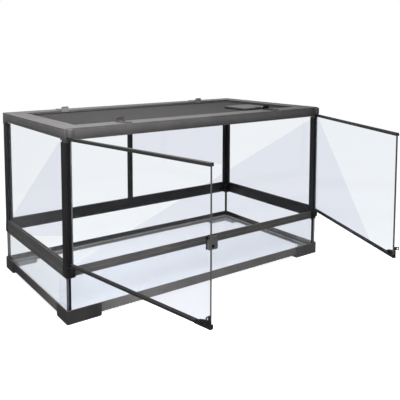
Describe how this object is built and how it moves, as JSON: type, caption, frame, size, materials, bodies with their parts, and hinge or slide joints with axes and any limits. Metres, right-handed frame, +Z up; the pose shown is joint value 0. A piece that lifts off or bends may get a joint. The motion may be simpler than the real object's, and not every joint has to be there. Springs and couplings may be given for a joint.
{
  "type": "reptile terrarium",
  "caption": "Front-opening glass terrarium with a low glazed tank, two swinging glass doors, a padlock hasp and a lift-out mesh screen held by sliding clips.",
  "frame": {"origin": "on the floor under the middle of the frame, which is the middle of the four feet's footprint", "axes": "+X to the viewer's right along the front, +Y from the doors to the back, +Z up"},
  "size_m": [0.9024, 0.8842, 0.4983],
  "materials": {
    "frame_plastic": "fine-grained moulded plastic",
    "door_plastic": "satin moulded plastic",
    "glass": "clear float glass",
    "silicone": "smooth black silicone",
    "mesh": "dark coated wire",
    "steel": "bright screws and pins"
  },
  "bodies": {
    "cabinet": {"base_frame": "frame_plastic", "front_left_foot": "frame_plastic", "front_right_foot": "frame_plastic", "back_left_foot": "frame_plastic", "back_right_foot": "frame_plastic", "bottom_glass": "glass", "tank_front_glass": "glass", "tank_back_glass": "glass", "tank_left_glass": "glass", "tank_right_glass": "glass", "tank_seals": "silicone", "mid_front_rail": "frame_plastic", "mid_back_rail": "frame_plastic", "mid_left_rail": "frame_plastic", "mid_right_rail": "frame_plastic", "mid_front_left_corner": "frame_plastic", "mid_front_right_corner": "frame_plastic", "mid_back_left_corner": "frame_plastic", "mid_back_right_corner": "frame_plastic", "front_left_post": "frame_plastic", "front_right_post": "frame_plastic", "back_left_post": "frame_plastic", "back_right_post": "frame_plastic", "left_side_glass": "glass", "right_side_glass": "glass", "back_left_glass": "glass", "back_right_glass": "glass", "back_strut": "frame_plastic", "top_front_rail": "frame_plastic", "top_back_rail": "frame_plastic", "top_left_rail": "frame_plastic", "top_right_rail": "frame_plastic", "top_front_left_corner": "frame_plastic", "top_front_right_corner": "frame_plastic", "top_back_left_corner": "frame_plastic", "top_back_right_corner": "frame_plastic", "clip_screws": "steel", "hasp_bracket": "frame_plastic", "hasp_pin": "steel"},
    "left_door": {"left_door_glass": "glass", "left_door_top_rail": "door_plastic", "left_door_bottom_rail": "door_plastic", "left_door_handle": "door_plastic", "left_door_pins": "steel"},
    "right_door": {"right_door_glass": "glass", "right_door_top_rail": "door_plastic", "right_door_bottom_rail": "door_plastic", "right_door_handle": "door_plastic", "right_door_pins": "steel"},
    "hasp": {"hasp": "frame_plastic"},
    "screen": {"screen_frame": "frame_plastic", "screen_mesh": "mesh", "hatch_ring": "frame_plastic"},
    "hatch": {"hatch_cover": "frame_plastic"},
    "front_left_clip": {"front_left_clip": "frame_plastic"},
    "front_right_clip": {"front_right_clip": "frame_plastic"},
    "back_left_clip": {"back_left_clip": "frame_plastic"},
    "back_right_clip": {"back_right_clip": "frame_plastic"}
  },
  "joints": [
    {"name": "left_door_swing", "type": "hinge", "parent": "cabinet", "child": "left_door", "pos_m": [-0.437, -0.23, 0.301], "axis": [0, 0, 1], "range_deg": [-41.5, 78.5]},
    {"name": "right_door_swing", "type": "hinge", "parent": "cabinet", "child": "right_door", "pos_m": [0.437, -0.23, 0.301], "axis": [0, 0, 1], "range_deg": [-66.5, 53.5]},
    {"name": "hasp_swing", "type": "hinge", "parent": "cabinet", "child": "hasp", "pos_m": [0, -0.23665, 0.141], "axis": [-1, 0, 0], "range_deg": [0, 180]},
    {"name": "screen_lift", "type": "slide", "parent": "cabinet", "child": "screen", "axis": [0, 0, 1], "range_m": [0, 0.12]},
    {"name": "hatch_swing", "type": "hinge", "parent": "screen", "child": "hatch", "pos_m": [0.274, -0.02, 0.4856], "axis": [-1, 0, 0], "range_deg": [0, 105]},
    {"name": "front_left_clip_slide", "type": "slide", "parent": "cabinet", "child": "front_left_clip", "axis": [0, -1, 0], "range_m": [-0.012, 0]},
    {"name": "front_right_clip_slide", "type": "slide", "parent": "cabinet", "child": "front_right_clip", "axis": [0, -1, 0], "range_m": [-0.012, 0]},
    {"name": "back_left_clip_slide", "type": "slide", "parent": "cabinet", "child": "back_left_clip", "axis": [0, 1, 0], "range_m": [-0.012, 0]},
    {"name": "back_right_clip_slide", "type": "slide", "parent": "cabinet", "child": "back_right_clip", "axis": [0, 1, 0], "range_m": [-0.012, 0]}
  ]
}
